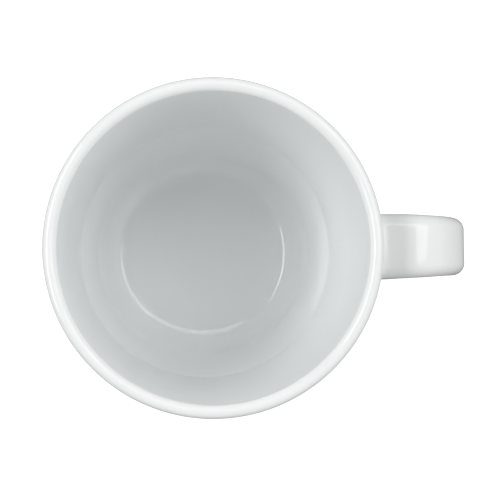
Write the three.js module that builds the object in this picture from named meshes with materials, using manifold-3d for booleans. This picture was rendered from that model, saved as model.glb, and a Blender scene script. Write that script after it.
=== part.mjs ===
// A white glazed porcelain mug: a tapered cup on a foot ring, with one strap handle.
// Units are millimetres and +Z is up. The foot ring stands on z = 0, the handle points along +X,
// and the origin is on the table under the middle of the whole mug, cup and handle together.
//
// The mug is made as it is in the pottery: the cup is pressed in one piece, the handle is cast
// on its own, liquid clay (slip) joins the handle's two roots to the cup, and a coat of glaze
// then covers everything but the flat of the foot ring.

import * as THREE from 'three';
import { mergeVertices } from 'three/addons/utils/BufferGeometryUtils.js';
import Module from 'manifold-3d';

const wasm = await Module();
wasm.setup();

// ---- Driving dimensions: the cup, measured on the glazed surface ----
const HEIGHT = 92; // table to the top of the lip
const RIM_RADIUS = 43; // outside of the lip
const LIP_RADIUS = 1.75; // the lip is fully rounded, so the wall is 3.5 thick there
const FLOOR_Z = 6.5; // inside floor above the table
// The inside bends twice between floor and lip. Each bend is where its two straight runs would
// meet, as radius and height, and the radius that rounds it.
const FLOOR_BEND = { corner: [28.5, FLOOR_Z], round: 10 };
const WALL_BEND = { corner: [34.9, 32], round: 12 };
const BASE_ROUND_RADIUS = 17; // round between the outside wall and the base
const BASE_ROUND_CENTRE = [20.2, 18.9]; // radius and height of that round's centre
const FOOT_OUTER_RADIUS = 27.5;
const FOOT_INNER_RADIUS = 24;
const FOOT_EDGE = 0.5; // chamfer on both edges of the foot ring
const RECESS_Z = 2.2; // underside inside the foot ring, at its edge
const RECESS_RISE = 0.5; // how much higher the underside is in the middle
const GLAZE_END_Z = 1.4; // the glaze is wiped off below this height

// ---- Driving dimensions: the handle ----
const HANDLE_REACH = 68; // cup axis to the outermost face of the handle
const STRAP_WIDTH = 16.8; // at the roots
const GRIP_WIDTH = 15.2; // at the outermost point
const STRAP_THICKNESS = 7.4;
const STRAP_CORNER_RADIUS = 3.4;
const ROOT_RADIUS = 46; // distance from the cup axis at which the strap starts to narrow

// ---- Driving dimensions: coats and joints ----
const GLAZE = 0.3; // thickness of the glaze coat
const SLIP = 0.9; // thickness of the slip between a handle root and the wall
const SLIP_BEAD = 0.9; // how far the slip stands out around a root
const CLEARANCE = 0.3; // kept where one piece is cut to another's shape
const COAT_GAP = 0.1; // between the strap and its coat, whose facets bend differently

// ---- Fineness of the round stretches ----
const TURN_SEGMENTS = 48;
const ARC_STEPS = 5;
const STRAP_STEPS = 30;
const STRAP_CORNER_STEPS = 4;

// The cup's axis lies off the origin, because the origin is under the middle of cup and handle.
const AXIS_X = (RIM_RADIUS - HANDLE_REACH) / 2;

const RIGHT_ANGLE = Math.PI / 2;

// ---- Cup outline, as [radius, z] points. An inset of 0 is the glaze, GLAZE is the clay. ----

const lipCentre = [RIM_RADIUS - LIP_RADIUS, HEIGHT - LIP_RADIUS];

// Angle from the vertical of the straight line that touches a lower and an upper circle.
function wallTaper(lower, upper, radiusSum) {
  const across = upper[0] - lower[0];
  const up = upper[1] - lower[1];
  return Math.acos(radiusSum / Math.hypot(across, up)) - Math.atan2(up, across);
}

// The tapers of the three straight runs of wall: inside above the bend, inside below it, outside.
const innerTaper = wallTaper(WALL_BEND.corner, lipCentre, LIP_RADIUS);
const lowerTaper = wallTaper(FLOOR_BEND.corner, WALL_BEND.corner, 0);
const outerTaper = wallTaper(BASE_ROUND_CENTRE, lipCentre, BASE_ROUND_RADIUS - LIP_RADIUS);

function arc([centreRadius, centreZ], radius, from, to, steps = ARC_STEPS) {
  const points = [];
  for (let i = 0; i <= steps; i += 1) {
    const angle = from + ((to - from) * i) / steps;
    points.push([centreRadius + radius * Math.cos(angle), centreZ + radius * Math.sin(angle)]);
  }
  return points;
}

// From the glaze line on the foot, up the outside and over to the top of the lip.
function outsideOutline(inset) {
  const footRadius = FOOT_OUTER_RADIUS - inset;
  const roundRadius = BASE_ROUND_RADIUS - inset;
  const footAngle = -Math.acos((footRadius - BASE_ROUND_CENTRE[0]) / roundRadius);
  return [
    [footRadius, GLAZE_END_Z],
    ...arc(BASE_ROUND_CENTRE, roundRadius, footAngle, -outerTaper),
    ...arc(lipCentre, LIP_RADIUS - inset, -outerTaper, RIGHT_ANGLE, ARC_STEPS - 1),
  ];
}

// Round a bend of the inside, from the taper above it to the taper below it.
function bendOutline({ corner, round }, above, below, inset) {
  const away = round / Math.cos((below - above) / 2);
  const middle = (below + above) / 2;
  const centre = [corner[0] - away * Math.cos(middle), corner[1] + away * Math.sin(middle)];
  return arc(centre, round + inset, -above, -below);
}

// From the top of the lip, down the inside wall and across the floor to the axis.
function insideOutline(inset) {
  return [
    ...arc(lipCentre, LIP_RADIUS - inset, RIGHT_ANGLE, Math.PI - innerTaper, ARC_STEPS - 1),
    ...bendOutline(WALL_BEND, innerTaper, lowerTaper, inset),
    ...bendOutline(FLOOR_BEND, lowerTaper, RIGHT_ANGLE, inset),
    [0, FLOOR_Z - inset],
  ];
}

// From the axis, across the underside and down the inside of the foot ring to the glaze line.
function recessOutline(inset) {
  return [
    [0, RECESS_Z + RECESS_RISE + inset],
    [FOOT_INNER_RADIUS / 2 + inset, RECESS_Z + RECESS_RISE / 2 + inset],
    [FOOT_INNER_RADIUS + inset, RECESS_Z + inset],
    [FOOT_INNER_RADIUS + inset, GLAZE_END_Z],
  ];
}

// The bare flat that the mug stands on, from the inside of the foot ring to the outside.
function footOutline() {
  const inner = FOOT_INNER_RADIUS + GLAZE;
  const outer = FOOT_OUTER_RADIUS - GLAZE;
  return [
    [inner, FOOT_EDGE],
    [inner + FOOT_EDGE, 0],
    [outer - FOOT_EDGE, 0],
    [outer, FOOT_EDGE],
  ];
}

// ---- Solids ----

// A solid of revolution about the cup's axis, from an outline that runs anticlockwise.
function turned(outline) {
  const profile = outline.map(([radius, z]) => new THREE.Vector2(radius, z));
  return new THREE.LatheGeometry(profile, TURN_SEGMENTS).rotateX(RIGHT_ANGLE);
}

// The whole cup as a filled block, grown outwards from the clay by a margin.
function cupBlock(margin) {
  const outside = outsideOutline(GLAZE - margin);
  return turned([[0, GLAZE_END_Z], ...outside, [0, outside.at(-1)[1]]]);
}

function closed(outline) {
  return [...outline, outline[0]];
}

// The strap's section, grown outwards from the clay by a margin: a rectangle with round corners.
function strapSection(margin) {
  const halfWidth = STRAP_WIDTH / 2 - STRAP_CORNER_RADIUS;
  const halfThickness = STRAP_THICKNESS / 2 - STRAP_CORNER_RADIUS;
  const radius = STRAP_CORNER_RADIUS - GLAZE + margin;
  const points = [];
  for (const [quarter, sideX, sideY] of [[0, 1, 1], [1, -1, 1], [2, -1, -1], [3, 1, -1]]) {
    const centre = [sideX * halfWidth, sideY * halfThickness];
    const from = quarter * RIGHT_ANGLE;
    points.push(...arc(centre, radius, from, from + RIGHT_ANGLE, STRAP_CORNER_STEPS));
  }
  return points.map(([x, y]) => new THREE.Vector2(x, y));
}

// The strap's centreline in the plane of the handle: out of the wall, round and back in lower down.
class HandleLine extends THREE.Curve {
  constructor() {
    super();
    const outermost = HANDLE_REACH - STRAP_THICKNESS / 2;
    this.line = new THREE.Path();
    this.line.moveTo(36, 76.5);
    this.line.lineTo(46, 77.5);
    this.line.bezierCurveTo(58, 78.7, outermost, 72, outermost, 60);
    this.line.bezierCurveTo(outermost, 46, 56, 33, 44, 27.5);
    this.line.lineTo(33, 22.5);
  }

  getPoint(t) {
    const point = this.line.getPoint(t);
    return new THREE.Vector3(point.x, 0, point.y);
  }
}

// The strap swept along its line, narrowing from the roots to the outermost point.
function strap(section, hole = null) {
  const shape = new THREE.Shape(section);
  if (hole) shape.holes.push(new THREE.Path(hole));
  const settings = { steps: STRAP_STEPS, bevelEnabled: false, extrudePath: new HandleLine() };
  const geometry = new THREE.ExtrudeGeometry(shape, settings);
  const position = geometry.attributes.position;
  for (let i = 0; i < position.count; i += 1) {
    const along = (position.getX(i) - ROOT_RADIUS) / (HANDLE_REACH - ROOT_RADIUS);
    const share = THREE.MathUtils.smoothstep(along, 0, 1);
    const width = THREE.MathUtils.lerp(STRAP_WIDTH, GRIP_WIDTH, share);
    position.setY(i, (position.getY(i) * width) / STRAP_WIDTH);
  }
  return geometry;
}

// ---- Joining and cutting ----

function toManifold(geometry) {
  const bare = geometry.clone();
  bare.deleteAttribute('normal');
  bare.deleteAttribute('uv');
  const merged = mergeVertices(bare);
  const corners = merged.index.array;
  const triangles = [];
  for (let i = 0; i < corners.length; i += 3) {
    const [a, b, c] = corners.slice(i, i + 3);
    if (a !== b && b !== c && c !== a) triangles.push(a, b, c);
  }
  const mesh = new wasm.Mesh({
    numProp: 3,
    vertProperties: merged.attributes.position.array,
    triVerts: new Uint32Array(triangles),
  });
  return new wasm.Manifold(mesh);
}

function fromManifold(manifold) {
  const mesh = manifold.getMesh();
  const geometry = new THREE.BufferGeometry();
  geometry.setAttribute('position', new THREE.BufferAttribute(mesh.vertProperties, 3));
  geometry.setIndex(new THREE.BufferAttribute(mesh.triVerts, 1));
  geometry.computeVertexNormals();
  return geometry;
}

// ---- The pieces ----

function cupBody() {
  const clay = GLAZE;
  return turned([
    ...recessOutline(clay),
    ...footOutline(),
    ...outsideOutline(clay),
    ...insideOutline(clay).slice(1),
  ]);
}

function innerGlaze() {
  return turned([...insideOutline(GLAZE).reverse(), ...insideOutline(0)]);
}

function footRecessGlaze() {
  return turned([...recessOutline(0), ...recessOutline(GLAZE).reverse()]);
}

// The outside coat is open where the slip of the two handle roots meets the clay.
function outerGlaze() {
  const coat = turned(closed([...outsideOutline(0), ...outsideOutline(GLAZE).reverse()]));
  const roots = strap(strapSection(SLIP_BEAD + CLEARANCE));
  return fromManifold(toManifold(coat).subtract(toManifold(roots)));
}

// Cuts a strap's two ends to the curve of the wall, leaving room for the slip.
function cutToWall(geometry) {
  const block = cupBlock(2 * CLEARANCE + SLIP);
  return fromManifold(toManifold(geometry).subtract(toManifold(block)));
}

function handle() {
  return cutToWall(strap(strapSection(0)));
}

function handleGlaze() {
  return cutToWall(strap(strapSection(GLAZE), strapSection(COAT_GAP)));
}

// The slip at one root: a plate as wide as the root and its bead, curved to the wall.
function slipAt(rootZ) {
  const plate = toManifold(cupBlock(CLEARANCE + SLIP)).subtract(toManifold(cupBlock(CLEARANCE)));
  const root = plate.intersect(toManifold(strap(strapSection(SLIP_BEAD))));
  const around = new THREE.BoxGeometry(HEIGHT, HEIGHT, HEIGHT / 2).translate(0, 0, rootZ);
  return fromManifold(root.intersect(toManifold(around)));
}

// ---- The assembly ----

const PORCELAIN = { color: 0xf0eee8, roughness: 0.6, metalness: 0 };
const SLIP_CLAY = { color: 0xece9e1, roughness: 0.7, metalness: 0 };
const CLEAR_GLAZE = { color: 0xf4f6f5, roughness: 0.08, metalness: 0 };

const UPPER_ROOT_Z = 76.5;
const LOWER_ROOT_Z = 25;

const pieces = [
  ['cup_body', cupBody(), PORCELAIN],
  ['handle', handle(), PORCELAIN],
  ['upper_luting_slip', slipAt(UPPER_ROOT_Z), SLIP_CLAY],
  ['lower_luting_slip', slipAt(LOWER_ROOT_Z), SLIP_CLAY],
  ['inner_glaze', innerGlaze(), CLEAR_GLAZE],
  ['outer_glaze', outerGlaze(), CLEAR_GLAZE],
  ['handle_glaze', handleGlaze(), CLEAR_GLAZE],
  ['foot_recess_glaze', footRecessGlaze(), CLEAR_GLAZE],
];

const mug = new THREE.Group();
mug.position.x = AXIS_X;
for (const [name, geometry, finish] of pieces) {
  const mesh = new THREE.Mesh(geometry, new THREE.MeshStandardMaterial(finish));
  mesh.name = name;
  mug.add(mesh);
}

export default mug;
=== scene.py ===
"""A white glazed porcelain mug on a pale studio floor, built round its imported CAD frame.

The mug is made as it is in the pottery. The cup is pressed in one piece and finished on the wheel,
the strap handle is cast on its own, liquid clay (slip) lutes the handle's two roots to the cup, and
one coat of glossy white glaze then covers everything but the flat of the foot ring.

Shapes are worked out in millimetres about the cup's own axis, with +Z up and the handle along +X.
They are moved into the frame's place, in metres, when a mesh is made.
"""

from __future__ import annotations

import logging
import math
from collections.abc import Iterable, Sequence
from dataclasses import dataclass, field
from enum import Enum

import bmesh
import bpy
import numpy as np
from mathutils import Matrix, Quaternion, Vector


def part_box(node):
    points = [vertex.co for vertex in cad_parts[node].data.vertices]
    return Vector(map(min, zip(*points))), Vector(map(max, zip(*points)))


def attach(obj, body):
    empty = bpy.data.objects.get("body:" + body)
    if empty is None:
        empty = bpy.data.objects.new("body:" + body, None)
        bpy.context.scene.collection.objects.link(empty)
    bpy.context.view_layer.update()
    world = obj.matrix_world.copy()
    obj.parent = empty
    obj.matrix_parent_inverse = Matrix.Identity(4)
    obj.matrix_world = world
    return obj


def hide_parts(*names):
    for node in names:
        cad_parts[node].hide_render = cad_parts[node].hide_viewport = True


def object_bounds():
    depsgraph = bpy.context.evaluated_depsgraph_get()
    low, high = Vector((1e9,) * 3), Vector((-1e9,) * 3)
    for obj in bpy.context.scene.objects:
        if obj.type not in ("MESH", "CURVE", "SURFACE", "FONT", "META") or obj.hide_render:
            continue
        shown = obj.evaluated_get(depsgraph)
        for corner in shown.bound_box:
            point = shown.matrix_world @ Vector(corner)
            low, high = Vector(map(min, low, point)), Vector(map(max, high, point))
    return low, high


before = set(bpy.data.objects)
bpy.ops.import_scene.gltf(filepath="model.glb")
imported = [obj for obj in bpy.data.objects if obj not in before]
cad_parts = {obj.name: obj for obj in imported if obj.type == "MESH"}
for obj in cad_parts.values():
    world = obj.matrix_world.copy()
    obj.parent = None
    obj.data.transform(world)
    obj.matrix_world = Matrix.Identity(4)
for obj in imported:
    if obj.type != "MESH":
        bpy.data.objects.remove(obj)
CAD_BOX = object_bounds()

LOG = logging.getLogger("mug")
MM = 0.001  # metres in a millimetre
RIGHT_ANGLE = math.pi / 2
CREASE = math.radians(50)  # edges that turn more than this stay sharp
WHITE = (1.0, 1.0, 1.0, 1.0)

Point = tuple[float, float]  # radius from the cup's axis and height above the table, in mm
Ring = np.ndarray  # points round a section, one row each of x, y and z in mm


class Body(Enum):
    """The bodies of the frame that a piece can ride on."""

    MUG = "root"


class Slot(Enum):
    """The material slots of the record."""

    PORCELAIN = "porcelain"
    SLIP = "slip_clay"
    GLAZE = "glaze"


class Layer(Enum):
    """A surface of the ware, by its depth under the glazed face in mm."""

    GLAZE_FACE = 0.0
    GLAZE_BACK = 0.3
    CLAY_FACE = 0.32


class Root(Enum):
    """The two places where the handle joins the cup."""

    UPPER = "upper"
    LOWER = "lower"


# ---- Small tools ----


def linear(colour: str) -> tuple[float, float, float, float]:
    """Turn an sRGB colour into the linear colour that a node socket takes.

    Args:
        colour: The colour as six hex digits after a hash sign.

    Returns:
        Linear red, green and blue, and an alpha of 1.
    """
    channels = []
    for start in (1, 3, 5):
        share = int(colour[start : start + 2], 16) / 255
        low = share <= 0.04045
        channels.append(share / 12.92 if low else ((share + 0.055) / 1.055) ** 2.4)
    return (*channels, 1.0)


def add_node(
    tree: bpy.types.NodeTree,
    kind: str,
    sockets: dict[str | int, object] | None = None,
    **settings: object,
) -> bpy.types.Node:
    """Add one node to a tree, with its settings, its values and the links into it.

    Args:
        tree: The shader or geometry tree.
        kind: The node's type name.
        sockets: Values by input name or number. An output socket makes a link.
        **settings: Properties of the node itself.

    Returns:
        The new node.
    """
    node = tree.nodes.new(kind)
    for name, value in settings.items():
        setattr(node, name, value)
    for key, value in (sockets or {}).items():
        if isinstance(value, bpy.types.NodeSocket):
            tree.links.new(value, node.inputs[key])
        else:
            node.inputs[key].default_value = value
    return node


def arc(centre: Point, radius: float, start: float, end: float, steps: int) -> list[Point]:
    """Points along a circular arc in a plane, both ends included.

    Args:
        centre: Centre of the circle.
        radius: Its radius in mm.
        start: Angle of the first point, in radians.
        end: Angle of the last point, in radians.
        steps: Number of equal steps between them.

    Returns:
        The points, in order.
    """
    angles = [start + (end - start) * i / steps for i in range(steps + 1)]
    return [(centre[0] + radius * math.cos(a), centre[1] + radius * math.sin(a)) for a in angles]


def straight(start: Point, end: Point, steps: int) -> list[Point]:
    """Points strictly between two places on a straight line.

    Args:
        start: Place before the first point.
        end: Place after the last point.
        steps: Number of equal steps from start to end.

    Returns:
        The points in between, in order.
    """
    shares = [i / steps for i in range(1, steps)]
    return [(start[0] + (end[0] - start[0]) * s, start[1] + (end[1] - start[1]) * s) for s in shares]


def eased(before: Point, corner: Point, after: Point, reach: float, steps: int = 5) -> list[Point]:
    """Round off a corner between two straight runs.

    Args:
        before: A place on the run into the corner.
        corner: The sharp corner.
        after: A place on the run out of it.
        reach: Distance from the corner to where the rounding starts and ends, in mm.
        steps: Number of steps round the corner.

    Returns:
        Points of the rounded corner, in order.
    """
    tip = Vector(corner)
    first = tip + (Vector(before) - tip).normalized() * reach
    last = tip + (Vector(after) - tip).normalized() * reach
    points = []
    for i in range(steps + 1):
        t = i / steps
        place = first * (1 - t) ** 2 + tip * 2 * t * (1 - t) + last * t**2
        points.append((place.x, place.y))
    return points


# ---- Finishes ----

# The colour sockets of a Mix node, which has one set of sockets for each type of data.
MIX_FIRST = 6
MIX_SECOND = 7
MIX_RESULT = 2


def blank_finish(name: str) -> tuple[bpy.types.Material, bpy.types.NodeTree]:
    """Start a material, and return it with its empty tree."""
    material = bpy.data.materials.new(name)
    material.use_nodes = True
    tree = material.node_tree
    tree.nodes.clear()
    return material, tree


@dataclass(frozen=True)
class GlossyWhiteGlaze:
    """Fired feldspathic glaze, opacified white: the glassy coat on tableware.

    It is a smooth glass over a white ground, so it gives crisp mirror images of the softboxes over
    an even, slightly cool white. It flowed while molten: its thickness and colour drift by a trace,
    and its face keeps a very faint orange peel and a slow waviness.
    """

    name: str = "glossy_white_glaze"
    body_colour: str = "#F3F5F5"
    thick_colour: str = "#EFF2F2"
    ior: float = 1.52  # feldspathic glass
    roughness_low: float = 0.025
    roughness_high: float = 0.06
    cloud_mm: float = 28.0  # size of the slow drifts in the coat's thickness
    wave_mm: float = 14.0  # slow waviness left by the flow
    wave_height_mm: float = 0.012
    peel_mm: float = 1.6  # orange peel
    peel_height_mm: float = 0.0006

    def build(self) -> bpy.types.Material:
        """Make the material. All glazed pieces share one pattern."""
        material, tree = blank_finish(self.name)
        place = add_node(tree, "ShaderNodeTexCoord").outputs["Object"]
        cloud = add_node(
            tree,
            "ShaderNodeTexNoise",
            {"Vector": place, "Scale": 1 / (self.cloud_mm * MM), "Detail": 3.0, "Roughness": 0.45},
        )
        colour = add_node(
            tree,
            "ShaderNodeMix",
            {
                "Factor": cloud.outputs["Fac"],
                MIX_FIRST: linear(self.body_colour),
                MIX_SECOND: linear(self.thick_colour),
            },
            data_type="RGBA",
        )
        roughness = add_node(
            tree,
            "ShaderNodeMapRange",
            {
                "Value": cloud.outputs["Fac"],
                "From Min": 0.3,
                "From Max": 0.7,
                "To Min": self.roughness_low,
                "To Max": self.roughness_high,
            },
        )
        wave = add_node(
            tree,
            "ShaderNodeTexNoise",
            {"Vector": place, "Scale": 1 / (self.wave_mm * MM), "Detail": 0.0},
        )
        wavy = add_node(
            tree,
            "ShaderNodeBump",
            {"Distance": self.wave_height_mm * MM, "Height": wave.outputs["Fac"]},
        )
        peel = add_node(
            tree,
            "ShaderNodeTexNoise",
            {"Vector": place, "Scale": 1 / (self.peel_mm * MM), "Detail": 1.0},
        )
        peeled = add_node(
            tree,
            "ShaderNodeBump",
            {
                "Distance": self.peel_height_mm * MM,
                "Height": peel.outputs["Fac"],
                "Normal": wavy.outputs["Normal"],
            },
        )
        shader = add_node(
            tree,
            "ShaderNodeBsdfPrincipled",
            {
                "Base Color": colour.outputs[MIX_RESULT],
                "Roughness": roughness.outputs["Result"],
                "IOR": self.ior,
                "Normal": peeled.outputs["Normal"],
            },
        )
        add_node(tree, "ShaderNodeOutputMaterial", {"Surface": shader.outputs["BSDF"]})
        return material


@dataclass(frozen=True)
class BareClay:
    """Fired clay with no glaze on it: dry, matt and very finely grained.

    Light sinks in and comes back soft, with no mirror image. The grain shows as a fine tooth, and
    the colour drifts a little with how hot each part of the ware got.
    """

    name: str
    light_colour: str
    dark_colour: str
    roughness: float
    mottle_mm: float  # size of the drifts in colour
    grain_mm: float  # size of the grains that give the tooth
    grain_height_mm: float
    sheen: float = 0.25  # a dry face mirrors less than a smooth one

    def build(self) -> bpy.types.Material:
        """Make the material."""
        material, tree = blank_finish(self.name)
        place = add_node(tree, "ShaderNodeTexCoord").outputs["Object"]
        mottle = add_node(
            tree,
            "ShaderNodeTexNoise",
            {"Vector": place, "Scale": 1 / (self.mottle_mm * MM), "Detail": 4.0},
        )
        colour = add_node(
            tree,
            "ShaderNodeMix",
            {
                "Factor": mottle.outputs["Fac"],
                MIX_FIRST: linear(self.light_colour),
                MIX_SECOND: linear(self.dark_colour),
            },
            data_type="RGBA",
        )
        grain = add_node(
            tree,
            "ShaderNodeTexNoise",
            {"Vector": place, "Scale": 1 / (self.grain_mm * MM), "Detail": 2.0},
        )
        tooth = add_node(
            tree,
            "ShaderNodeBump",
            {"Distance": self.grain_height_mm * MM, "Height": grain.outputs["Fac"]},
        )
        shader = add_node(
            tree,
            "ShaderNodeBsdfPrincipled",
            {
                "Base Color": colour.outputs[MIX_RESULT],
                "Roughness": self.roughness,
                "Specular IOR Level": self.sheen,
                "Normal": tooth.outputs["Normal"],
            },
        )
        add_node(tree, "ShaderNodeOutputMaterial", {"Surface": shader.outputs["BSDF"]})
        return material


# Biscuit porcelain, ground flat on the foot ring: a warm white with a fine tooth. Its real grain
# is about 0.05 mm, which is drawn at 0.25 mm so that it shows at all.
BISCUIT_PORCELAIN = BareClay(
    name="biscuit_porcelain",
    light_colour="#EBE6DC",
    dark_colour="#DDD6C9",
    roughness=0.72,
    mottle_mm=6.0,
    grain_mm=0.25,
    grain_height_mm=0.02,
)

# Luting slip, the same clay brushed on wet: greyer, and rougher from the brush.
LUTING_SLIP = BareClay(
    name="luting_slip",
    light_colour="#DAD6CD",
    dark_colour="#C9C3B7",
    roughness=0.85,
    mottle_mm=2.5,
    grain_mm=0.4,
    grain_height_mm=0.05,
)


@dataclass(frozen=True)
class StudioPaper:
    """Seamless white background paper: plain, matt and lit from behind the sweep as well."""

    name: str = "studio_paper"
    colour: str = "#F7F7F7"
    glow: float = 0.75  # light that the lit sweep sends back of itself
    roughness: float = 0.9
    sheen: float = 0.1

    def build(self) -> bpy.types.Material:
        """Make the material. The paper's fibre is too fine to draw."""
        material, tree = blank_finish(self.name)
        shader = add_node(
            tree,
            "ShaderNodeBsdfPrincipled",
            {
                "Base Color": linear(self.colour),
                "Roughness": self.roughness,
                "Specular IOR Level": self.sheen,
                "Emission Color": WHITE,
                "Emission Strength": self.glow,
            },
        )
        add_node(tree, "ShaderNodeOutputMaterial", {"Surface": shader.outputs["BSDF"]})
        return material


# ---- Meshes ----


def dressed(piece: bpy.types.Object, nodes: Sequence[str]) -> bpy.types.Object:
    """Make a finished mesh ride on the mug, in place of the CAD nodes it stands for.

    Args:
        piece: The finished piece, with its place in its mesh.
        nodes: The CAD nodes that it replaces.

    Returns:
        The same piece.
    """
    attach(piece, Body.MUG.value)
    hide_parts(*nodes)
    LOG.info("%s: %d faces, for %s", piece.name, len(piece.data.polygons), ", ".join(nodes))
    return piece


def lofted(
    name: str, rings: Sequence[Ring], axis_x: float, finish: bpy.types.Material, joined: bool
) -> bpy.types.Object:
    """Join rings of points into one closed mesh, with its faces outwards.

    Args:
        name: Name of the piece.
        rings: Rings with the same number of points each, in order.
        axis_x: Place of the cup's axis along X in mm.
        finish: The material.
        joined: Whether the last ring joins the first. If not, a fan closes each end.

    Returns:
        The new object.
    """
    count = len(rings[0])
    mesh = bmesh.new()
    rows = []
    for ring in rings:
        rows.append([mesh.verts.new(((x + axis_x) * MM, y * MM, z * MM)) for x, y, z in ring])
    pairs = list(zip(rows, rows[1:]))
    if joined:
        pairs.append((rows[-1], rows[0]))
    for row, following in pairs:
        for i in range(count):
            j = (i + 1) % count
            mesh.faces.new((row[i], row[j], following[j], following[i]))
    if not joined:
        for row, turn in ((rows[0], 1), (rows[-1], -1)):
            middle = mesh.verts.new(sum((v.co for v in row), Vector()) / count)
            for i in range(count):
                corners = (row[(i + 1) % count], row[i], middle)
                mesh.faces.new(corners[::turn])
    if mesh.calc_volume(signed=True) < 0:
        bmesh.ops.reverse_faces(mesh, faces=mesh.faces)
    data = bpy.data.meshes.new(name)
    mesh.to_mesh(data)
    mesh.free()
    data.materials.append(finish)
    data.shade_smooth()
    data.set_sharp_from_angle(angle=CREASE)
    piece = bpy.data.objects.new(name, data)
    bpy.context.scene.collection.objects.link(piece)
    return piece


@dataclass
class Wheel:
    """The potter's wheel: a Geometry Nodes tree that turns an outline about the cup's axis.

    The outline is a run of points from the axis, round the outside and back to the axis. The tree
    lays a grid over it, wraps the grid round the axis and merges the seam and the two poles. Faint
    rings, which the tool leaves as the ware turns, then lift the face along its normal.
    """

    segments: int = 240
    ring_height: float = 0.0015  # mm
    ring_spacing: float = 5.0  # mm
    seed: int = 7
    merge_distance: float = 1e-6  # metres, for the seam and the poles
    tree: bpy.types.NodeTree = field(init=False)
    inputs: dict[str, str] = field(init=False, default_factory=dict)

    def __post_init__(self) -> None:
        """Build the tree once, for every turned piece."""
        self.tree = bpy.data.node_groups.new("turning", "GeometryNodeTree")
        self._declare_sockets()
        self._fill_tree()

    def _declare_sockets(self) -> None:
        """Give the tree its named inputs and its output."""
        face = self.tree.interface
        kinds = {
            "Outline": "NodeSocketGeometry",
            "Segments": "NodeSocketInt",
            "Axis X": "NodeSocketFloat",
            "Ring Height": "NodeSocketFloat",
            "Ring Spacing": "NodeSocketFloat",
            "Seed": "NodeSocketInt",
            "Finish": "NodeSocketMaterial",
        }
        for name, kind in kinds.items():
            socket = face.new_socket(name, in_out="INPUT", socket_type=kind)
            self.inputs[name] = socket.identifier
        face.new_socket("Ware", in_out="OUTPUT", socket_type="NodeSocketGeometry")

    def _math(self, operation: str, *values: object) -> bpy.types.NodeSocket:
        """Add one Math node and return its result.

        Args:
            operation: What the node does.
            *values: Its inputs, as numbers or sockets.

        Returns:
            The result's socket.
        """
        sockets = dict(enumerate(values))
        return add_node(self.tree, "ShaderNodeMath", sockets, operation=operation).outputs[0]

    def _fill_tree(self) -> None:
        """Lay the grid, wrap it round the axis, add the rings and give it its finish."""
        tree = self.tree
        given = add_node(tree, "NodeGroupInput").outputs
        size = add_node(
            tree,
            "GeometryNodeAttributeDomainSize",
            {"Geometry": given["Outline"]},
            component="MESH",
        )
        columns = self._math("ADD", given["Segments"], 1)
        grid = add_node(
            tree,
            "GeometryNodeMeshGrid",
            {"Vertices X": size.outputs["Point Count"], "Vertices Y": columns},
        )
        index = add_node(tree, "GeometryNodeInputIndex").outputs["Index"]
        row = self._math("FLOOR", self._math("DIVIDE", self._math("ADD", index, 0.5), columns))
        column = self._math("SUBTRACT", index, self._math("MULTIPLY", row, columns))
        angle = self._math(
            "MULTIPLY", self._math("DIVIDE", column, given["Segments"]), -2 * math.pi
        )
        position = add_node(tree, "GeometryNodeInputPosition").outputs["Position"]
        sampled = add_node(
            tree,
            "GeometryNodeSampleIndex",
            {"Geometry": given["Outline"], "Index": row},
            data_type="FLOAT_VECTOR",
            domain="POINT",
        )
        tree.links.new(position, sampled.inputs["Value"])
        outline = add_node(tree, "ShaderNodeSeparateXYZ", {0: sampled.outputs["Value"]}).outputs
        across = self._math("MULTIPLY", outline["X"], self._math("COSINE", angle))
        wrapped = add_node(
            tree,
            "ShaderNodeCombineXYZ",
            {
                "X": self._math("ADD", across, given["Axis X"]),
                "Y": self._math("MULTIPLY", outline["X"], self._math("SINE", angle)),
                "Z": outline["Z"],
            },
        )
        turned = add_node(
            tree,
            "GeometryNodeSetPosition",
            {"Geometry": grid.outputs["Mesh"], "Position": wrapped.outputs["Vector"]},
        )
        merged = add_node(
            tree,
            "GeometryNodeMergeByDistance",
            {"Geometry": turned.outputs["Geometry"], "Distance": self.merge_distance},
        )
        ringed = add_node(
            tree,
            "GeometryNodeSetPosition",
            {"Geometry": merged.outputs["Geometry"], "Offset": self._rings(given, position)},
        )
        smooth = add_node(
            tree, "GeometryNodeSetShadeSmooth", {"Geometry": ringed.outputs["Geometry"]}
        )
        real = add_node(
            tree, "GeometryNodeRealizeInstances", {"Geometry": smooth.outputs["Geometry"]}
        )
        finished = add_node(
            tree,
            "GeometryNodeSetMaterial",
            {"Geometry": real.outputs["Geometry"], "Material": given["Finish"]},
        )
        add_node(tree, "NodeGroupOutput", {"Ware": finished.outputs["Geometry"]})

    def _rings(
        self, given: bpy.types.NodeOutputs, position: bpy.types.NodeSocket
    ) -> bpy.types.NodeSocket:
        """Work out how far the turning rings lift each point, along its normal.

        Args:
            given: Outputs of the tree's input node.
            position: Where the point is.

        Returns:
            The socket with the offset.
        """
        tree = self.tree
        place = add_node(tree, "ShaderNodeSeparateXYZ", {0: position}).outputs
        from_axis = self._math("SUBTRACT", place["X"], given["Axis X"])
        squares = self._math(
            "ADD", self._math("POWER", from_axis, 2), self._math("POWER", place["Y"], 2)
        )
        travel = self._math("ADD", self._math("SQRT", squares), place["Z"])
        noise = add_node(
            tree,
            "ShaderNodeTexNoise",
            {
                "W": self._math(
                    "ADD", self._math("DIVIDE", travel, given["Ring Spacing"]), given["Seed"]
                ),
                "Scale": 1.0,
                "Detail": 1.0,
            },
            noise_dimensions="1D",
        )
        lift = self._math(
            "MULTIPLY",
            self._math("SUBTRACT", noise.outputs[0], 0.5),
            self._math("MULTIPLY", given["Ring Height"], 2),
        )
        normal = add_node(tree, "GeometryNodeInputNormal").outputs["Normal"]
        scaled = add_node(
            tree, "ShaderNodeVectorMath", {"Vector": normal, "Scale": lift}, operation="SCALE"
        )
        return scaled.outputs["Vector"]

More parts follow.
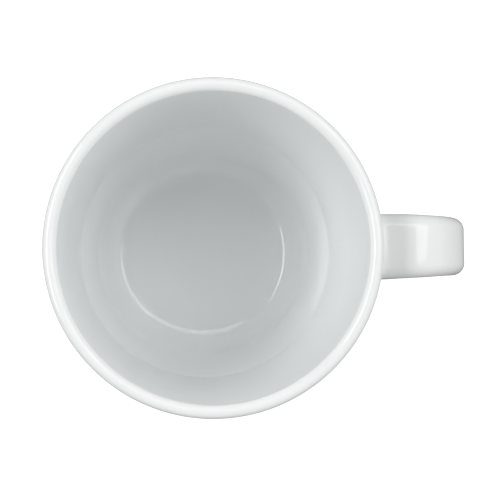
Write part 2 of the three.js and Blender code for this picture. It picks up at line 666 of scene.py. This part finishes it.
    def turn(
        self, name: str, outline: Iterable[Point], axis_x: float, finish: bpy.types.Material
    ) -> bpy.types.Object:
        """Turn one piece and make it a plain mesh.

        Args:
            name: Name of the piece.
            outline: Its outline, anticlockwise from the axis back to the axis, in mm.
            axis_x: Place of the cup's axis along X in mm.
            finish: Its material.

        Returns:
            The new object.
        """
        points = [(radius * MM, 0.0, height * MM) for radius, height in outline]
        edges = [(i, i + 1) for i in range(len(points) - 1)]
        line = bpy.data.meshes.new(name + "_outline")
        line.from_pydata(points, edges, [])
        blank = bpy.data.objects.new(name + "_outline", line)
        bpy.context.scene.collection.objects.link(blank)
        modifier = blank.modifiers.new("turning", "NODES")
        modifier.node_group = self.tree
        values = {
            "Segments": self.segments,
            "Axis X": axis_x * MM,
            "Ring Height": self.ring_height * MM,
            "Ring Spacing": self.ring_spacing * MM,
            "Seed": self.seed,
            "Finish": finish,
        }
        for title, value in values.items():
            modifier[self.inputs[title]] = value
        depsgraph = bpy.context.evaluated_depsgraph_get()
        data = bpy.data.meshes.new_from_object(blank.evaluated_get(depsgraph))
        data.name = name
        blank.modifiers.remove(modifier)
        bpy.data.objects.remove(blank)
        bpy.data.meshes.remove(line)
        piece = bpy.data.objects.new(name, data)
        bpy.context.scene.collection.objects.link(piece)
        return piece


# ---- The cup ----


@dataclass(frozen=True)
class Bend:
    """A bend in the inside of the cup: where its two straight runs would meet, and its round."""

    corner: Point
    round_radius: float

    def curve(self, lean_above: float, lean_below: float, depth: float, steps: int) -> list[Point]:
        """Points round the bend, from the run above it to the run below it.

        Args:
            lean_above: Lean of the upper run from the vertical, in radians.
            lean_below: Lean of the lower run.
            depth: How far inside the glazed face, in mm.
            steps: Number of steps round the bend.

        Returns:
            The points, on a circle that touches both runs.
        """
        half_turn = (lean_below - lean_above) / 2
        middle = (lean_below + lean_above) / 2
        away = self.round_radius / math.cos(half_turn)
        centre = (
            self.corner[0] - away * math.cos(middle),
            self.corner[1] + away * math.sin(middle),
        )
        return arc(centre, self.round_radius + depth, -lean_above, -lean_below, steps)


@dataclass(frozen=True)
class CupShape:
    """Sizes of the cup in mm, measured on the glazed face, and the outlines they give."""

    axis_x: float
    height: float
    rim_radius: float = 43.0
    lip_radius: float = 1.75
    floor_height: float = 6.5
    floor_bend: Bend = Bend((28.5, 6.5), 10.0)
    wall_bend: Bend = Bend((34.9, 32.0), 12.0)
    base_round_radius: float = 17.0
    base_round_centre: Point = (20.2, 18.9)
    foot_outer_radius: float = 27.5
    foot_inner_radius: float = 24.0
    foot_edge: float = 0.5  # rounding of the foot ring's edges
    foot_hollow: float = 0.9  # rounding where the foot ring meets the base
    recess_hollow: float = 0.6
    recess_height: float = 2.2
    recess_rise: float = 0.5
    glaze_end: float = 1.4

    @property
    def lip_centre(self) -> Point:
        """Centre of the round of the lip."""
        return (self.rim_radius - self.lip_radius, self.height - self.lip_radius)

    @staticmethod
    def _lean(lower: Point, upper: Point, apart: float) -> float:
        """Angle from the vertical of the straight line that touches two circles.

        Args:
            lower: Centre of the lower circle.
            upper: Centre of the upper circle.
            apart: Sum of their radii, or difference if both lie on one side of the line.

        Returns:
            The angle in radians.
        """
        across = upper[0] - lower[0]
        up = upper[1] - lower[1]
        return math.acos(apart / math.hypot(across, up)) - math.atan2(up, across)

    @property
    def inner_lean(self) -> float:
        """Lean of the inside wall above its bend, in radians."""
        return self._lean(self.wall_bend.corner, self.lip_centre, self.lip_radius)

    @property
    def lower_lean(self) -> float:
        """Lean of the inside wall between its two bends, in radians."""
        low, high = self.floor_bend.corner, self.wall_bend.corner
        return math.atan2(high[0] - low[0], high[1] - low[1])

    @property
    def outer_lean(self) -> float:
        """Lean of the outside wall, in radians."""
        apart = self.base_round_radius - self.lip_radius
        return self._lean(self.base_round_centre, self.lip_centre, apart)

    def outside(self, layer: Layer) -> list[Point]:
        """Outline from the end of the glaze on the foot, up the outside, to the top of the lip."""
        depth = layer.value
        foot = self.foot_outer_radius - depth
        radius = self.base_round_radius - depth
        start = -math.acos((foot - self.base_round_centre[0]) / radius)
        base = arc(self.base_round_centre, radius, start, -self.outer_lean, steps=22)
        low = (foot, self.glaze_end)
        hollow = eased(low, base[0], base[2], self.foot_hollow)
        turn = self.lip_radius - depth
        lip = arc(self.lip_centre, turn, -self.outer_lean, RIGHT_ANGLE, steps=12)
        wall = straight(base[-1], lip[0], steps=26)
        return [low, *hollow, *base[2:], *wall, *lip]

    def inside(self, layer: Layer) -> list[Point]:
        """Outline from just past the top of the lip, down the inside and over the floor."""
        depth = layer.value
        end = math.pi - self.inner_lean
        lip = arc(self.lip_centre, self.lip_radius - depth, RIGHT_ANGLE, end, steps=12)
        upper = self.wall_bend.curve(self.inner_lean, self.lower_lean, depth, steps=10)
        corner = self.floor_bend.curve(self.lower_lean, RIGHT_ANGLE, depth, steps=26)
        middle = (0.0, self.floor_height - depth)
        return [
            *lip[1:],
            *straight(lip[-1], upper[0], steps=22),
            *upper,
            *straight(upper[-1], corner[0], steps=10),
            *corner,
            *straight(corner[-1], middle, steps=9),
            middle,
        ]

    def recess(self, layer: Layer) -> list[Point]:
        """Outline from the axis, over the slightly domed underside, down inside the foot ring."""
        depth = layer.value
        edge = self.foot_inner_radius + depth
        crown = (0.0, self.recess_height + self.recess_rise + depth)
        corner = (edge, self.recess_height + depth)
        low = (edge, self.glaze_end)
        hollow = eased(crown, corner, low, self.recess_hollow)
        return [crown, *straight(crown, hollow[0], steps=9), *hollow, low]

    def foot(self) -> list[Point]:
        """Outline of the bare foot that the mug stands on, from its inside to its outside."""
        depth = Layer.CLAY_FACE.value
        inner = self.foot_inner_radius + depth
        outer = self.foot_outer_radius - depth
        turn_in = eased((inner, 1.0), (inner, 0.0), (outer, 0.0), self.foot_edge)
        turn_out = eased((inner, 0.0), (outer, 0.0), (outer, 1.0), self.foot_edge)
        return [*turn_in, *straight(turn_in[-1], turn_out[0], steps=4), *turn_out]

    def wall_radius(self, height: float | np.ndarray, lift: float) -> float | np.ndarray:
        """Radius of the straight outside wall at a height.

        Args:
            height: Height above the table in mm.
            lift: How far outside the glazed face to measure, square to the wall, in mm.

        Returns:
            The radius in mm.
        """
        lean = self.outer_lean
        start_radius = self.base_round_centre[0] + self.base_round_radius * math.cos(lean)
        start_height = self.base_round_centre[1] - self.base_round_radius * math.sin(lean)
        return start_radius + (height - start_height) * math.tan(lean) + lift / math.cos(lean)


@dataclass
class Cup:
    """The cup: its porcelain body, the coat over it and the coat under its foot."""

    shape: CupShape
    wheel: Wheel
    edge_roll: float = 0.15  # the molten glaze drew back to a rounded edge of this radius, in mm

    def _rolled_edge(self, inner: Point, outer: Point) -> list[Point]:
        """Round off the lower edge where a coat ends.

        Args:
            inner: Lowest place on the coat's side towards the axis.
            outer: Lowest place on its other side.

        Returns:
            Points from the inner side to the outer.
        """
        middle = ((inner[0] + outer[0]) / 2, self.shape.glaze_end)
        return arc(middle, self.edge_roll, math.pi, 2 * math.pi, steps=6)[1:-1]

    def build(self, glaze: bpy.types.Material, clay: bpy.types.Material) -> None:
        """Turn the three pieces of the cup.

        Args:
            glaze: Finish of the coats.
            clay: Finish of the bare body.
        """
        shape = self.shape
        clay_face, back, face = Layer.CLAY_FACE, Layer.GLAZE_BACK, Layer.GLAZE_FACE
        body = [
            *shape.recess(clay_face),
            *shape.foot(),
            *shape.outside(clay_face),
            *shape.inside(clay_face),
        ]
        piece = self.wheel.turn("cup_porcelain", body, shape.axis_x, clay)
        dressed(piece, ["cup_body"])

        behind = [*shape.outside(back), *shape.inside(back)][::-1]
        coat = [
            *behind,
            *self._rolled_edge(behind[-1], shape.outside(face)[0]),
            *shape.outside(face),
            *shape.inside(face),
        ]
        piece = self.wheel.turn("cup_glaze_coat", coat, shape.axis_x, glaze)
        dressed(piece, ["inner_glaze", "outer_glaze"])

        under = shape.recess(face)
        above = shape.recess(back)[::-1]
        coat = [*under, *self._rolled_edge(under[-1], above[0]), *above]
        piece = self.wheel.turn("recess_glaze_coat", coat, shape.axis_x, glaze)
        dressed(piece, ["foot_recess_glaze"])


# ---- The handle ----


@dataclass(frozen=True)
class StrapShape:
    """Sizes of the strap handle in mm, measured on the glazed face."""

    reach: float  # from the cup's axis to the outermost face
    width: float = 16.8  # at the roots
    grip_width: float = 15.2  # at the outermost place
    thickness: float = 7.4
    corner_radius: float = 3.4
    narrows_from: float = 46.0
    root_round: float = 3.6  # radius of the hollow where the strap runs into the wall
    slip_thickness: float = 0.9
    slip_bead: float = 0.9

    @property
    def runs(self) -> list[tuple[tuple[Point, ...], int]]:
        """The centreline from the upper root to the lower: control points and steps of each run."""
        out = self.reach - self.thickness / 2
        return [
            (((44.8, 77.38), (46.0, 77.5)), 2),
            (((46.0, 77.5), (58.0, 78.7), (out, 72.0), (out, 60.0)), 34),
            (((out, 60.0), (out, 46.0), (56.0, 33.0), (44.0, 27.5)), 40),
            (((44.0, 27.5), (41.0, 26.136)), 3),
        ]

    def section(self, depth: float, radius: float) -> np.ndarray:
        """Points round the strap's section at one place: a rectangle with round corners.

        Args:
            depth: How far inside the glazed face, in mm. A negative depth is outside it.
            radius: Distance of the place from the cup's axis, which sets the width.

        Returns:
            One row for each point: along Y, and out of the strap's broad face.
        """
        half_width = self.width / 2 - self.corner_radius
        half_thickness = self.thickness / 2 - self.corner_radius
        corner = self.corner_radius - depth
        points: list[Point] = []
        for quarter, (side, up) in enumerate([(1, 1), (-1, 1), (-1, -1), (1, -1)]):
            centre = (side * half_width, up * half_thickness)
            start = quarter * RIGHT_ANGLE
            bend = arc(centre, corner, start, start + RIGHT_ANGLE, steps=9)
            if points:
                points += straight(points[-1], bend[0], 6 if quarter % 2 else 2)
            points += bend
        points += straight(points[-1], points[0], steps=2)
        share = min(max((radius - self.narrows_from) / (self.reach - self.narrows_from), 0), 1)
        share = share * share * (3 - 2 * share)
        narrowing = 1 + (self.grip_width / self.width - 1) * share
        return np.array(points) * (narrowing, 1.0)


@dataclass
class Handle:
    """The strap handle: its porcelain, the slip at its two roots and the coat over it."""

    shape: StrapShape
    cup: CupShape
    hollow_steps: int = 12
    bead_steps: int = 6
    tuck: float = 0.06  # the coat's edge ends this far under the cup's glazed face, in mm
    overlap: float = 0.6  # and this far past the hollow
    clearance: float = 0.01  # between slip and what it touches, in mm

    def _stations(self) -> list[tuple[np.ndarray, np.ndarray]]:
        """Places along the centreline with the direction it runs in, both in the handle's plane."""
        stations = []
        for controls, steps in self.shape.runs:
            knots = np.array([(radius, 0.0, height) for radius, height in controls])
            degree = len(knots) - 1
            for i in range(1 if stations else 0, steps + 1):
                t = i / steps
                place, along = self._bezier(knots, degree, t)
                stations.append((place, along / np.linalg.norm(along)))
        return stations

    @staticmethod
    def _bezier(knots: np.ndarray, degree: int, t: float) -> tuple[np.ndarray, np.ndarray]:
        """Place and direction on a Bezier curve.

        Args:
            knots: Its control points.
            degree: Its degree.
            t: How far along, from 0 to 1.

        Returns:
            The place, and the direction, which isn't of unit length.
        """
        weights = [math.comb(degree, k) * t**k * (1 - t) ** (degree - k) for k in range(degree + 1)]
        steps = np.diff(knots, axis=0)
        lower = degree - 1
        rates = [math.comb(lower, k) * t**k * (1 - t) ** (lower - k) for k in range(degree)]
        return np.array(weights) @ knots, np.array(rates) @ steps

    def _ring(self, station: tuple[np.ndarray, np.ndarray], depth: float) -> Ring:
        """The strap's section, set square to the centreline at one place.

        Args:
            station: The place and the direction there.
            depth: How far inside the glazed face, in mm.

        Returns:
            The ring of points.
        """
        place, along = station
        outward = np.array([-along[2], 0.0, along[0]])
        section = self.shape.section(depth, place[0])
        across = np.array([0.0, 1.0, 0.0])
        return place + np.outer(section[:, 0], across) + np.outer(section[:, 1], outward)

    def _to_wall(self, ring: Ring, towards: np.ndarray, lift: float) -> Ring:
        """Carry each point of a ring along a straight line until it meets the cup's wall.

        Args:
            ring: The points to carry.
            towards: Direction of the lines.
            lift: How far outside the wall's glazed face to stop, in mm.

        Returns:
            The ring on the wall.
        """
        slope = math.tan(self.cup.outer_lean)
        wall = self.cup.wall_radius(ring[:, 2], lift)
        climb = slope * towards[2]
        a = towards[0] ** 2 + towards[1] ** 2 - climb**2
        b = 2 * (ring[:, 0] * towards[0] + ring[:, 1] * towards[1] - wall * climb)
        c = ring[:, 0] ** 2 + ring[:, 1] ** 2 - wall**2
        travel = (-b - np.sqrt(b * b - 4 * a * c)) / (2 * a)
        return ring + np.outer(travel, towards)

    def _wall_normals(self, ring: Ring) -> np.ndarray:
        """Directions square to the cup's wall and out of it, at each point of a ring."""
        lean = self.cup.outer_lean
        flat = ring[:, :2] / np.linalg.norm(ring[:, :2], axis=1)[:, None]
        down = np.full((len(ring), 1), -math.sin(lean))
        return np.hstack([flat * math.cos(lean), down])

    def _lift_of(self, ring: Ring) -> np.ndarray:
        """How far each point of a ring stands out of the wall's glazed face, in mm."""
        gap = np.linalg.norm(ring[:, :2], axis=1) - self.cup.wall_radius(ring[:, 2], 0.0)
        return gap * math.cos(self.cup.outer_lean)

    def _hollow(self, station: tuple[np.ndarray, np.ndarray], towards: np.ndarray) -> list[Ring]:
        """Rings of the hollow that runs from the strap's face out onto the cup's wall.

        Args:
            station: Place on the centreline next to the root, and the direction there.
            towards: Direction into the wall.

        Returns:
            The rings from the strap to the wall, and one tucked under the cup's glazed face.
        """
        around = self._ring(station, 0.0)
        corner = self._to_wall(around, towards, 0.0)
        start = corner - towards * self.shape.root_round
        outward = around - self._ring(station, 0.5)
        normals = self._wall_normals(corner)
        outward -= normals * np.sum(outward * normals, axis=1)[:, None]
        outward /= np.linalg.norm(outward, axis=1)[:, None]
        end = corner + outward * self.shape.root_round
        reach = np.sum((start - corner) * normals, axis=1)
        rings = []
        weight = math.cos(math.pi / 4)
        for i in range(self.hollow_steps + 1):
            t = i / self.hollow_steps
            shares = np.array([(1 - t) ** 2, 2 * t * (1 - t) * weight, t * t])
            shares /= shares.sum()
            ring = shares[0] * start + shares[1] * corner + shares[2] * end
            # The wall curves away from its tangent plane, so each point keeps its lift instead.
            wanted = shares[0] * reach
            rings.append(ring + self._wall_normals(ring) * (wanted - self._lift_of(ring))[:, None])
        edge = rings[-1] + outward * self.overlap
        sink = -self.tuck - self._lift_of(edge)
        rings.append(edge + self._wall_normals(edge) * sink[:, None])
        return rings

    def _coat(self) -> list[Ring]:
        """Rings of the coat: over its face from root to root, then back along its underside."""
        stations = self._stations()
        first, last = stations[0], stations[-1]
        depth = Layer.GLAZE_BACK.value
        face = [
            *self._hollow(first, -first[1])[::-1],
            *[self._ring(s, 0.0) for s in stations[1:-1]],
            *self._hollow(last, last[1]),
        ]
        back = [self._ring(s, depth) for s in stations]
        lift = self.shape.slip_thickness - depth
        upper = self._to_wall(back[0], -first[1], lift)
        lower = self._to_wall(back[-1], last[1], lift)
        return [*face, lower, *back[::-1], upper]

    def _clay(self) -> list[Ring]:
        """Rings of the porcelain strap, from where it stops on the upper slip to the lower."""
        stations = self._stations()
        depth = Layer.CLAY_FACE.value
        rings = [self._ring(s, depth) for s in stations]
        lift = self.shape.slip_thickness - Layer.GLAZE_BACK.value + 2 * self.clearance
        upper = self._to_wall(rings[0], -stations[0][1], lift)
        lower = self._to_wall(rings[-1], stations[-1][1], lift)
        return [upper, *rings, lower]

    def _slip(self, root: Root) -> list[Ring]:
        """Rings of one pad of slip, from the middle of its face round the bead to its back.

        Args:
            root: Which root it holds.

        Returns:
            The rings.
        """
        stations = self._stations()
        station = stations[0] if root is Root.UPPER else stations[-1]
        towards = -station[1] if root is Root.UPPER else station[1]
        skin = -Layer.GLAZE_BACK.value
        under = skin - self.clearance
        top = self.shape.slip_thickness + skin - self.clearance
        edge = self._ring(station, Layer.CLAY_FACE.value)
        bead_edge = self._ring(station, Layer.CLAY_FACE.value - self.shape.slip_bead)
        rings = []
        for share in (0.1, 0.35, 0.6, 0.85, 1.0):
            rings.append(self._to_wall(station[0] + (edge - station[0]) * share, towards, top))
        for i in range(1, self.bead_steps + 1):
            angle = RIGHT_ANGLE * i / self.bead_steps
            spread = edge + (bead_edge - edge) * math.sin(angle)
            lift = under + (top - under) * math.cos(angle)
            rings.append(self._to_wall(spread, towards, lift))
        for share in (0.8, 0.55, 0.3, 0.1):
            spread = station[0] + (bead_edge - station[0]) * share
            rings.append(self._to_wall(spread, towards, under))
        return rings

    def build(
        self, glaze: bpy.types.Material, clay: bpy.types.Material, slip: bpy.types.Material
    ) -> None:
        """Make the four pieces of the handle.

        Args:
            glaze: Finish of the coat.
            clay: Finish of the strap under it.
            slip: Finish of the two joints.
        """
        axis_x = self.cup.axis_x
        piece = lofted("handle_porcelain", self._clay(), axis_x, clay, joined=False)
        dressed(piece, ["handle"])
        for root in Root:
            name = f"{root.value}_slip_joint"
            piece = lofted(name, self._slip(root), axis_x, slip, joined=False)
            dressed(piece, [f"{root.value}_luting_slip"])
        piece = lofted("handle_glaze_coat", self._coat(), axis_x, glaze, joined=True)
        dressed(piece, ["handle_glaze"])


# ---- The studio ----


@dataclass(frozen=True)
class Softbox:
    """A square of diffused light that faces the mug."""

    name: str
    azimuth: float  # degrees from +X towards +Y
    elevation: float  # degrees above the table
    width: float  # metres
    height: float  # metres
    power: float  # watts
    distance: float = 1.2  # metres from the mug
    mirrored: bool = True  # False for a fill that the glaze doesn't mirror

    def place(self, target: Vector) -> None:
        """Hang the softbox and turn it to the mug.

        Args:
            target: What it faces, in metres.
        """
        light = bpy.data.lights.new(self.name, "AREA")
        light.shape = "RECTANGLE"
        light.size = self.width
        light.size_y = self.height
        light.energy = self.power
        lamp = bpy.data.objects.new(self.name, light)
        lamp.visible_glossy = self.mirrored
        bpy.context.scene.collection.objects.link(lamp)
        turn, rise = math.radians(self.azimuth), math.radians(self.elevation)
        away = Vector(
            (math.cos(turn) * math.cos(rise), math.sin(turn) * math.cos(rise), math.sin(rise))
        )
        lamp.location = target + away * self.distance
        lamp.rotation_mode = "QUATERNION"
        lamp.rotation_quaternion = away.to_track_quat("Z", "Y")


@dataclass(frozen=True)
class StudioCamera:
    """A camera on a boom, almost straight above the mug. Places are in mm about the cup's axis."""

    place: tuple[float, float, float] = (-21.4, -11.05, 592.0)
    target: tuple[float, float, float] = (8.97, -0.73, 92.0)
    view_width: float = 125.3  # what it sees at the target
    roll: float = 0.85  # degrees
    sensor: float = 36.0
    nearest: float = 0.01  # metres

    def build(self, axis_x: float) -> None:
        """Set the camera up and make it the scene's.

        Args:
            axis_x: Place of the cup's axis along X in mm.
        """
        shift = Vector((axis_x, 0.0, 0.0))
        place = (Vector(self.place) + shift) * MM
        target = (Vector(self.target) + shift) * MM
        data = bpy.data.cameras.new("studio_camera")
        data.sensor_width = self.sensor
        data.lens = self.sensor * (target - place).length / (self.view_width * MM)
        data.clip_start = self.nearest
        camera = bpy.data.objects.new("studio_camera", data)
        bpy.context.scene.collection.objects.link(camera)
        camera.location = place
        camera.rotation_mode = "QUATERNION"
        look = (target - place).normalized()
        level = Quaternion(look, math.radians(self.roll))
        right = level @ look.cross(Vector((0, 1, 0))).normalized()
        axes = Matrix((right, right.cross(look), -look))
        camera.rotation_quaternion = axes.transposed().to_quaternion()
        bpy.context.scene.camera = camera


@dataclass
class Studio:
    """White floor, a white tent all round, a key softbox on the left, and weaker lights."""

    target: Vector
    tent: float = 0.04  # brightness of the tent
    print_gamma: float = 1.4  # lifts the mid tones, as a bright product print has them
    floor_half: float = 4.0  # metres
    floor_drop: float = 0.02  # mm under the foot ring, so that the two faces don't coincide
    key_power: float = 8.5  # watts
    side_share: float = 0.25  # each share is of the key's power
    back_share: float = 0.2
    fill_share: float = 0.3  # of each fill

    def _softboxes(self) -> list[Softbox]:
        """The key on the left, one softbox on the right, one behind, and five equal fills."""
        side, back, fill = (
            self.key_power * share for share in (self.side_share, self.back_share, self.fill_share)
        )
        boxes = [
            Softbox("left_key", 170.0, 48.0, 1.0, 0.4, self.key_power),
            Softbox("right_softbox", 22.0, 54.0, 0.6, 0.4, side),
            Softbox("back_softbox", 75.0, 66.0, 0.8, 0.3, back),
        ]
        low_fills = [(azimuth, 15.0) for azimuth in (-60.0, 0.0, 60.0)]
        high_fills = [(azimuth, 40.0) for azimuth in (0.0, 180.0)]
        for azimuth, elevation in low_fills + high_fills:
            name = f"fill_{len(boxes)}"
            boxes.append(Softbox(name, azimuth, elevation, 0.7, 0.5, fill, mirrored=False))
        return boxes

    def build(self) -> None:
        """Lay the floor, light the tent and hang the softboxes."""
        half = self.floor_half
        mesh = bpy.data.meshes.new("studio_floor")
        low = -self.floor_drop * MM
        corners = [(-half, -half, low), (half, -half, low), (half, half, low), (-half, half, low)]
        mesh.from_pydata(corners, [], [(0, 1, 2, 3)])
        mesh.materials.append(StudioPaper().build())
        floor = bpy.data.objects.new("studio_floor", mesh)
        bpy.context.scene.collection.objects.link(floor)
        # The mug stands on white but takes no light from it, so that its edges show.
        floor.visible_diffuse = False
        floor.visible_glossy = False
        self._light_tent()
        for softbox in self._softboxes():
            softbox.place(self.target)
        bpy.context.scene.view_settings.view_transform = "Standard"
        bpy.context.scene.view_settings.gamma = self.print_gamma

    def _light_tent(self) -> None:
        """Light the tent evenly, and show it as the same white that the floor has."""
        world = bpy.data.worlds.new("white_tent")
        world.use_nodes = True
        tree = world.node_tree
        tree.nodes.clear()
        lit = add_node(tree, "ShaderNodeBackground", {"Strength": self.tent})
        shown = add_node(tree, "ShaderNodeBackground", {"Strength": 1.0})
        for node in (lit, shown):
            node.inputs["Color"].default_value = WHITE
        seen = add_node(tree, "ShaderNodeLightPath").outputs["Is Camera Ray"]
        both = add_node(
            tree,
            "ShaderNodeMixShader",
            {0: seen, 1: lit.outputs["Background"], 2: shown.outputs["Background"]},
        )
        add_node(tree, "ShaderNodeOutputWorld", {"Surface": both.outputs["Shader"]})
        bpy.context.scene.world = world


def main() -> None:
    """Build the mug and the studio round the frame."""
    logging.basicConfig(level=logging.INFO, format="%(name)s: %(message)s")
    low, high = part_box("inner_glaze")
    axis_x = (low.x + high.x) / 2 / MM
    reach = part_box("handle_glaze")[1].x / MM - axis_x
    cup_shape = CupShape(axis_x=axis_x, height=high.z / MM)

    glaze = GlossyWhiteGlaze().build()
    clay = BISCUIT_PORCELAIN.build()
    slip = LUTING_SLIP.build()
    Cup(cup_shape, Wheel()).build(glaze, clay)
    Handle(StrapShape(reach=reach), cup_shape).build(glaze, clay, slip)

    middle = (CAD_BOX[0] + CAD_BOX[1]) / 2
    Studio(target=middle).build()
    StudioCamera().build(axis_x)


if __name__ == "__main__":
    main()
